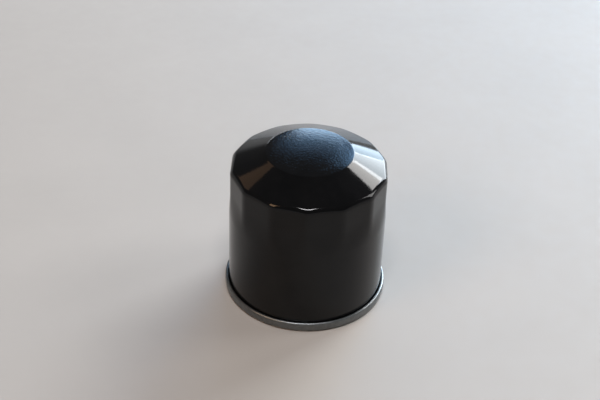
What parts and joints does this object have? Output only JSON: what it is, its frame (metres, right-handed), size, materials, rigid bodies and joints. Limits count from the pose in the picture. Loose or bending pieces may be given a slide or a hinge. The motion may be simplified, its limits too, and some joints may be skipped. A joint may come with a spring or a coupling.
{
  "type": "oil filter",
  "caption": "Spin-on oil filter: black steel can with wrench flats, rolled zinc seam, threaded base with gasket, pleated element, drain-back and bypass valves.",
  "frame": {"origin": "on the filter's axis, in the plane of the gasket's sealing face, which is what the filter stands on", "axes": "+Z along the axis, from the threaded base to the dome; a corner between two wrench flats faces -Y"},
  "size_m": [0.08, 0.08, 0.079],
  "materials": {
    "black_paint": "gloss black stoving enamel",
    "zinc_sheet": "zinc-plated sheet, slightly dull",
    "plate_steel": "zinc-plated pressing, plain",
    "gasket_rubber": "matt black nitrile, lightly oiled",
    "valve_rubber": "brick-red silicone, satin",
    "seam_sealant": "grey compound",
    "tinned_steel": "tin-plated sheet, satin",
    "tube_steel": "perforated plated sheet",
    "filter_paper": "resin-treated paper, cured",
    "plastisol": "cast adhesive, satin",
    "spring_steel": "oil-tempered wire, dark",
    "valve_steel": "pressed steel, satin",
    "seal_rubber": "matt black nitrile"
  },
  "bodies": {
    "housing": {"outer_can": "black_paint", "seaming_lid": "zinc_sheet", "seam_compound": "seam_sealant", "tapping_plate": "plate_steel", "base_gasket": "gasket_rubber", "element_spring": "spring_steel"},
    "drain_valve": {"anti_drain_valve": "valve_rubber"},
    "element": {"lower_end_cap": "tinned_steel", "lower_adhesive": "plastisol", "centre_tube": "tube_steel", "pleated_media": "filter_paper", "media_seam_clip": "tinned_steel", "upper_adhesive": "plastisol", "upper_end_cap": "tinned_steel", "bypass_cage": "valve_steel", "bypass_spring": "spring_steel", "spring_cup": "tinned_steel"},
    "bypass_valve": {"bypass_disc": "valve_steel", "bypass_seal": "seal_rubber"}
  },
  "joints": [
    {"name": "element_float", "type": "slide", "parent": "housing", "child": "element", "axis": [0, 0, 1], "range_m": [0, 0.0015], "stiffness_N_per_m": 6000, "springref_m": -0.006, "deforming": ["element_spring"]},
    {"name": "bypass_lift", "type": "slide", "parent": "element", "child": "bypass_valve", "axis": [0, 0, -1], "range_m": [0, 0.0025], "stiffness_N_per_m": 2000, "springref_m": -0.005, "deforming": ["bypass_spring"]},
    {"name": "drain_valve_lift", "type": "slide", "parent": "housing", "child": "drain_valve", "axis": [0, 0, 1], "range_m": [0, 0.0015], "stiffness_N_per_m": 300, "springref_m": -0.001, "deforming": ["anti_drain_valve"]}
  ]
}
